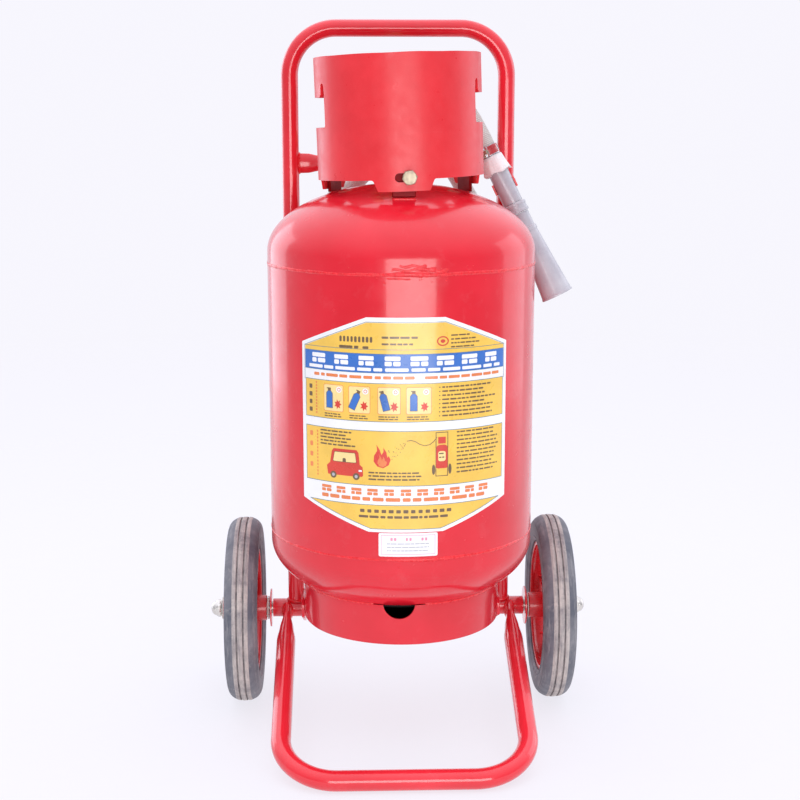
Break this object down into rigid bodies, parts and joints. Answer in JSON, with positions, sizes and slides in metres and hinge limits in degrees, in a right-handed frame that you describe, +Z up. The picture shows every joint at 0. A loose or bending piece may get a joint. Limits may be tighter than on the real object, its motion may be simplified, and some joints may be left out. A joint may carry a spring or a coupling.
{
  "type": "wheeled fire extinguisher",
  "caption": "Steel dry powder cylinder on a two-wheeled tube frame, with a guarded squeeze valve, a coiled hose and a flared nozzle clipped at its side.",
  "frame": {"origin": "middle of the footprint on the ground, measured without the hose and nozzle", "axes": "+Z up, front and label face -Y, wheels left and right on X with the axle along X"},
  "size_m": [0.5144, 0.4445, 0.911],
  "materials": {
    "red_paint": "gloss enamel",
    "guard_paint": "satin enamel",
    "powder": "dry powder",
    "brass": "machined",
    "seal_rubber": "moulded",
    "tyre": "moulded grey rubber",
    "bush_nylon": "moulded",
    "hose_canvas": "woven jacket",
    "nozzle_plastic": "moulded",
    "needle_black": "printed",
    "white_card": "printed",
    "label_film": "printed film",
    "lens": "clear",
    "bright_steel": "bright",
    "zinc_plate": "zinc plated"
  },
  "bodies": {
    "root": {"axle_nut_left": "zinc_plate", "axle_nut_right": "zinc_plate", "axle_rod": "zinc_plate", "axle_sleeve": "red_paint", "axle_washer_inner_left": "zinc_plate", "axle_washer_inner_right": "zinc_plate", "axle_washer_outer_left": "zinc_plate", "axle_washer_outer_right": "zinc_plate", "base_skirt": "red_paint", "carry_handle": "zinc_plate", "cross_brace": "red_paint", "dip_tube": "zinc_plate", "foot_frame": "red_paint", "gauge_case": "brass", "gauge_dial": "white_card", "gauge_lens": "lens", "guard_bolt_front": "zinc_plate", "guard_bolt_left": "zinc_plate", "guard_bolt_right": "zinc_plate", "guard_lug_front": "red_paint", "guard_lug_left": "red_paint", "guard_lug_right": "red_paint", "guard_ring": "guard_paint", "handle_frame": "red_paint", "hose_clamp": "bright_steel", "hose_coil": "hose_canvas", "hose_coupling": "brass", "hose_hanger": "red_paint", "hose_jacket_end": "hose_canvas", "hose_lead_in": "hose_canvas", "hose_lead_out": "hose_canvas", "inspection_label": "white_card", "instruction_label": "label_film", "lever_pin": "bright_steel", "neck_boss": "red_paint", "nozzle_barrel": "nozzle_plastic", "nozzle_clip": "guard_paint", "nozzle_tail": "nozzle_plastic", "nozzle_union": "nozzle_plastic", "powder_charge": "powder", "skirt_bracket_left": "red_paint", "skirt_bracket_right": "red_paint", "valve_body": "brass", "valve_seal": "seal_rubber", "valve_spring": "bright_steel", "vessel_body": "red_paint", "vessel_bottom_head": "red_paint", "vessel_top_head": "red_paint"},
    "left_wheel": {"wheel_left": "red_paint", "tyre_left": "tyre", "wheel_bush_inner_left": "bush_nylon", "wheel_bush_outer_left": "bush_nylon"},
    "right_wheel": {"wheel_right": "red_paint", "tyre_right": "tyre", "wheel_bush_inner_right": "bush_nylon", "wheel_bush_outer_right": "bush_nylon"},
    "lever": {"squeeze_lever": "zinc_plate"},
    "stem": {"valve_stem": "bright_steel"},
    "pin": {"safety_pin": "bright_steel"},
    "needle": {"gauge_needle": "needle_black"}
  },
  "joints": [
    {"name": "left_wheel_spin", "type": "hinge", "parent": "root", "child": "left_wheel", "pos_m": [-0.2095, 0.0972, 0.125], "axis": [1, 0, 0], "continuous": true},
    {"name": "right_wheel_spin", "type": "hinge", "parent": "root", "child": "right_wheel", "pos_m": [0.2095, 0.0972, 0.125], "axis": [1, 0, 0], "continuous": true},
    {"name": "lever_press", "type": "hinge", "parent": "root", "child": "lever", "pos_m": [0, 0.0012, 0.8065], "axis": [1, 0, 0], "range_deg": [0, 12], "stiffness_Nm_per_rad": 0.5, "springref_deg": -17.19},
    {"name": "stem_slide", "type": "slide", "parent": "root", "child": "stem", "axis": [0, 0, 1], "range_m": [-0.0045, 0]},
    {"name": "safety_pin_pull", "type": "slide", "parent": "root", "child": "pin", "axis": [1, 0, 0], "range_m": [0, 0.045]},
    {"name": "gauge_needle_turn", "type": "hinge", "parent": "root", "child": "needle", "pos_m": [-0.0335, -0.0128, 0.757], "axis": [-1, 0, 0], "range_deg": [-65, 65], "stiffness_Nm_per_rad": 0.001}
  ],
  "couplings": [
    {"joint": "stem_slide", "follows": "lever_press", "m_per_rad": -0.0214}
  ]
}
